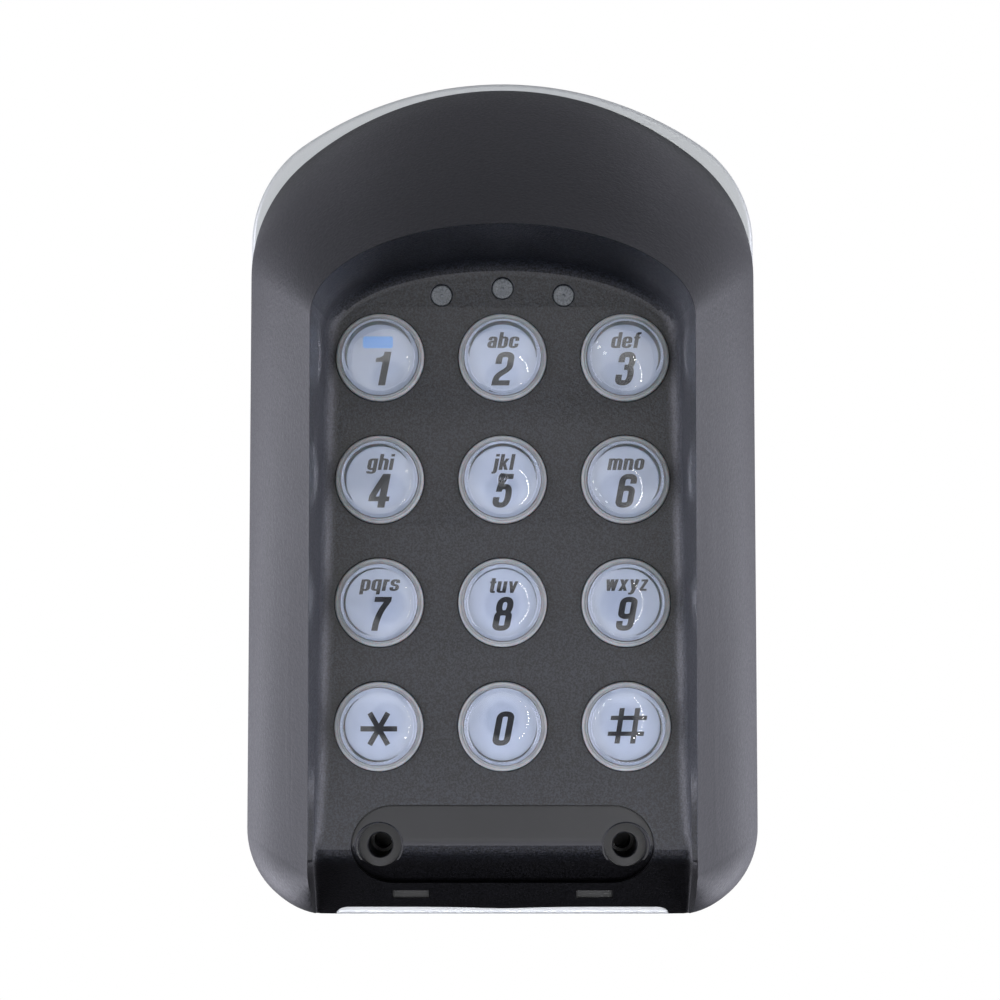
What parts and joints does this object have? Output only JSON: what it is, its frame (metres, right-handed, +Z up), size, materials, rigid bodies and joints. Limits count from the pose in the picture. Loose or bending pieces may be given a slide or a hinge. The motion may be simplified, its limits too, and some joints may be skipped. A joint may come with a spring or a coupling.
{
  "type": "keypad access unit",
  "caption": "Wall-mounted entry keypad with round lit keys in a recessed panel, sheltered by a black hooded cover on a silver back housing.",
  "frame": {"origin": "centre of the flat back face of the housing, which lies on the wall", "axes": "+Z up, +Y from the front towards the wall, +X to the right as seen by the person at the keys"},
  "size_m": [0.082, 0.042, 0.1351],
  "materials": {
    "cover_black": "fine spark-eroded texture",
    "housing_silver": "satin",
    "key_clear": "polished clear cap",
    "key_legend": "printed disc",
    "silicone": "translucent silicone",
    "window_smoke": "smoked diffuser",
    "rubber_black": "matt",
    "board_green": "solder mask",
    "chip_black": "moulded",
    "terminal_green": "moulded",
    "lamp_clear": "diffused lamp",
    "steel": "plated"
  },
  "bodies": {
    "casing": {"back_housing": "housing_silver", "front_cover": "cover_black", "cover_seal": "rubber_black", "cable_grommet": "rubber_black", "circuit_board": "board_green", "keypad_mat": "silicone", "terminal_block": "terminal_green", "buzzer": "chip_black", "controller_chip": "chip_black", "led_window_left": "window_smoke", "led_window_centre": "window_smoke", "led_window_right": "window_smoke", "led_left": "lamp_clear", "led_centre": "lamp_clear", "led_right": "lamp_clear", "board_screw_1": "steel", "board_screw_2": "steel", "board_screw_3": "steel", "board_screw_4": "steel"},
    "key_1": {"key_pad_1": "silicone", "key_legend_1": "key_legend", "key_cap_1": "key_clear"},
    "key_2": {"key_pad_2": "silicone", "key_legend_2": "key_legend", "key_cap_2": "key_clear"},
    "key_3": {"key_pad_3": "silicone", "key_legend_3": "key_legend", "key_cap_3": "key_clear"},
    "key_4": {"key_pad_4": "silicone", "key_legend_4": "key_legend", "key_cap_4": "key_clear"},
    "key_5": {"key_pad_5": "silicone", "key_legend_5": "key_legend", "key_cap_5": "key_clear"},
    "key_6": {"key_pad_6": "silicone", "key_legend_6": "key_legend", "key_cap_6": "key_clear"},
    "key_7": {"key_pad_7": "silicone", "key_legend_7": "key_legend", "key_cap_7": "key_clear"},
    "key_8": {"key_pad_8": "silicone", "key_legend_8": "key_legend", "key_cap_8": "key_clear"},
    "key_9": {"key_pad_9": "silicone", "key_legend_9": "key_legend", "key_cap_9": "key_clear"},
    "key_star": {"key_pad_star": "silicone", "key_legend_star": "key_legend", "key_cap_star": "key_clear"},
    "key_0": {"key_pad_0": "silicone", "key_legend_0": "key_legend", "key_cap_0": "key_clear"},
    "key_hash": {"key_pad_hash": "silicone", "key_legend_hash": "key_legend", "key_cap_hash": "key_clear"}
  },
  "joints": [
    {"name": "press_1", "type": "slide", "parent": "casing", "child": "key_1", "axis": [0, 1, 0], "range_m": [0, 0.0012], "stiffness_N_per_m": 400},
    {"name": "press_2", "type": "slide", "parent": "casing", "child": "key_2", "axis": [0, 1, 0], "range_m": [0, 0.0012], "stiffness_N_per_m": 400},
    {"name": "press_3", "type": "slide", "parent": "casing", "child": "key_3", "axis": [0, 1, 0], "range_m": [0, 0.0012], "stiffness_N_per_m": 400},
    {"name": "press_4", "type": "slide", "parent": "casing", "child": "key_4", "axis": [0, 1, 0], "range_m": [0, 0.0012], "stiffness_N_per_m": 400},
    {"name": "press_5", "type": "slide", "parent": "casing", "child": "key_5", "axis": [0, 1, 0], "range_m": [0, 0.0012], "stiffness_N_per_m": 400},
    {"name": "press_6", "type": "slide", "parent": "casing", "child": "key_6", "axis": [0, 1, 0], "range_m": [0, 0.0012], "stiffness_N_per_m": 400},
    {"name": "press_7", "type": "slide", "parent": "casing", "child": "key_7", "axis": [0, 1, 0], "range_m": [0, 0.0012], "stiffness_N_per_m": 400},
    {"name": "press_8", "type": "slide", "parent": "casing", "child": "key_8", "axis": [0, 1, 0], "range_m": [0, 0.0012], "stiffness_N_per_m": 400},
    {"name": "press_9", "type": "slide", "parent": "casing", "child": "key_9", "axis": [0, 1, 0], "range_m": [0, 0.0012], "stiffness_N_per_m": 400},
    {"name": "press_star", "type": "slide", "parent": "casing", "child": "key_star", "axis": [0, 1, 0], "range_m": [0, 0.0012], "stiffness_N_per_m": 400},
    {"name": "press_0", "type": "slide", "parent": "casing", "child": "key_0", "axis": [0, 1, 0], "range_m": [0, 0.0012], "stiffness_N_per_m": 400},
    {"name": "press_hash", "type": "slide", "parent": "casing", "child": "key_hash", "axis": [0, 1, 0], "range_m": [0, 0.0012], "stiffness_N_per_m": 400}
  ]
}
